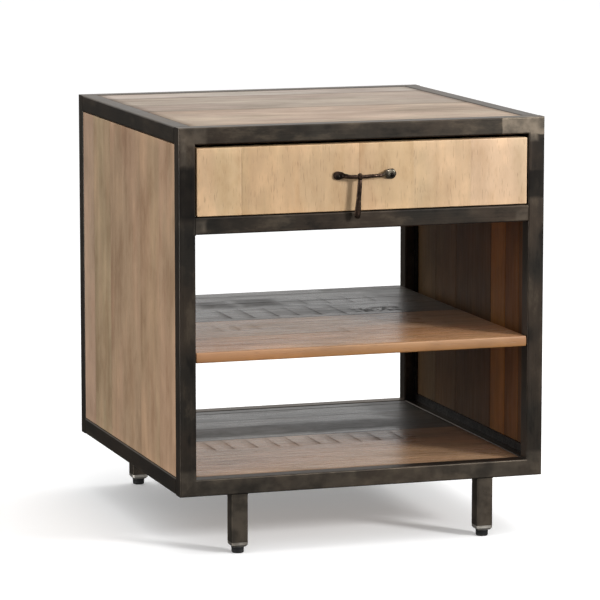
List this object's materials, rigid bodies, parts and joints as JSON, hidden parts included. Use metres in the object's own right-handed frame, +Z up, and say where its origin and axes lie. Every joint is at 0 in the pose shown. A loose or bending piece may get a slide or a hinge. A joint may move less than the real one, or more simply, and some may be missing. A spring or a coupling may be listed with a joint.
{
  "type": "side table with drawer",
  "caption": "Square-tube steel side table filled with wood boards, with a drawer on telescopic slides over two open bays.",
  "frame": {"origin": "on the floor, under the middle of the bounding box (the pull that stands out in front included)", "axes": "+Z up; the drawer front faces -Y and the drawer opens along -Y; +X is to the right of someone who faces the drawer"},
  "size_m": [0.57, 0.5874, 0.635],
  "materials": {
    "frame_steel": "blackened raw steel under clear lacquer, with paler ground patches at the welds",
    "ground_steel": "steel ground bright and left nearly bare",
    "stop_steel": "blackened flat bar",
    "top_wood": "pale greyish tan reclaimed boards, satin",
    "side_wood": "tan-brown reclaimed boards with upright grain, satin",
    "shelf_wood": "weathered reclaimed boards with saw marks, satin",
    "front_wood": "light honey-coloured staves with fine saw marks, satin",
    "drawer_wood": "plain planed wood",
    "slide_steel": "bright zinc-plated sheet steel",
    "forged_iron": "hand-forged iron, waxed dark",
    "foot_plastic": "black plastic",
    "screw_steel": "zinc-plated screws"
  },
  "bodies": {
    "table": {"back_bottom_rail": "frame_steel", "back_middle_rail": "frame_steel", "back_panel": "side_wood", "back_panel_stops": "stop_steel", "back_top_rail": "frame_steel", "base_board": "shelf_wood", "base_board_stops": "stop_steel", "board_screws": "screw_steel", "front_bottom_rail": "frame_steel", "front_middle_rail": "frame_steel", "front_top_rail": "frame_steel", "left_bottom_rail": "frame_steel", "left_panel_stops": "stop_steel", "left_runner_bar": "stop_steel", "left_shelf_cleat": "stop_steel", "left_side_panel": "side_wood", "left_slide_cabinet_member": "slide_steel", "left_top_rail": "frame_steel", "leg_back_left": "frame_steel", "leg_back_right": "frame_steel", "leg_end_plates": "ground_steel", "leg_front_left": "frame_steel", "leg_front_right": "frame_steel", "panel_screws": "screw_steel", "post_back_left": "frame_steel", "post_back_right": "frame_steel", "post_front_left": "frame_steel", "post_front_right": "frame_steel", "right_bottom_rail": "frame_steel", "right_panel_stops": "stop_steel", "right_runner_bar": "stop_steel", "right_shelf_cleat": "stop_steel", "right_side_panel": "side_wood", "right_slide_cabinet_member": "slide_steel", "right_top_rail": "frame_steel", "shelf": "shelf_wood", "slide_cabinet_screws": "screw_steel", "top_board": "top_wood", "top_board_stops": "stop_steel"},
    "drawer": {"drawer_front": "front_wood", "drawer_left_side": "drawer_wood", "drawer_right_side": "drawer_wood", "drawer_box_front": "drawer_wood", "drawer_box_back": "drawer_wood", "drawer_bottom": "drawer_wood", "drawer_screws": "screw_steel", "slide_drawer_screws": "screw_steel", "left_slide_drawer_member": "slide_steel", "right_slide_drawer_member": "slide_steel", "pull_bar": "forged_iron", "pull_nails": "forged_iron"},
    "left_slide_middle": {"left_slide_middle_member": "slide_steel"},
    "right_slide_middle": {"right_slide_middle_member": "slide_steel"},
    "drop": {"drop_pull": "forged_iron"},
    "foot_front_left": {"levelling_foot_front_left": "foot_plastic"},
    "foot_front_right": {"levelling_foot_front_right": "foot_plastic"},
    "foot_back_left": {"levelling_foot_back_left": "foot_plastic"},
    "foot_back_right": {"levelling_foot_back_right": "foot_plastic"}
  },
  "joints": [
    {"name": "drawer_slide", "type": "slide", "parent": "table", "child": "drawer", "axis": [0, -1, 0], "range_m": [0, 0.44]},
    {"name": "left_slide_middle_slide", "type": "slide", "parent": "table", "child": "left_slide_middle", "axis": [0, -1, 0], "range_m": [0, 0.22]},
    {"name": "right_slide_middle_slide", "type": "slide", "parent": "table", "child": "right_slide_middle", "axis": [0, -1, 0], "range_m": [0, 0.22]},
    {"name": "drop_swing", "type": "hinge", "parent": "drawer", "child": "drop", "pos_m": [-0.011, -0.28825, 0.556], "axis": [-1, 0, 0], "range_deg": [-5, 165]},
    {"name": "foot_front_left_screw", "type": "slide", "parent": "table", "child": "foot_front_left", "axis": [0, 0, -1], "range_m": [0, 0.012]},
    {"name": "foot_front_right_screw", "type": "slide", "parent": "table", "child": "foot_front_right", "axis": [0, 0, -1], "range_m": [0, 0.012]},
    {"name": "foot_back_left_screw", "type": "slide", "parent": "table", "child": "foot_back_left", "axis": [0, 0, -1], "range_m": [0, 0.012]},
    {"name": "foot_back_right_screw", "type": "slide", "parent": "table", "child": "foot_back_right", "axis": [0, 0, -1], "range_m": [0, 0.012]}
  ],
  "couplings": [
    {"joint": "left_slide_middle_slide", "follows": "drawer_slide", "ratio": 0.5},
    {"joint": "right_slide_middle_slide", "follows": "drawer_slide", "ratio": 0.5}
  ]
}
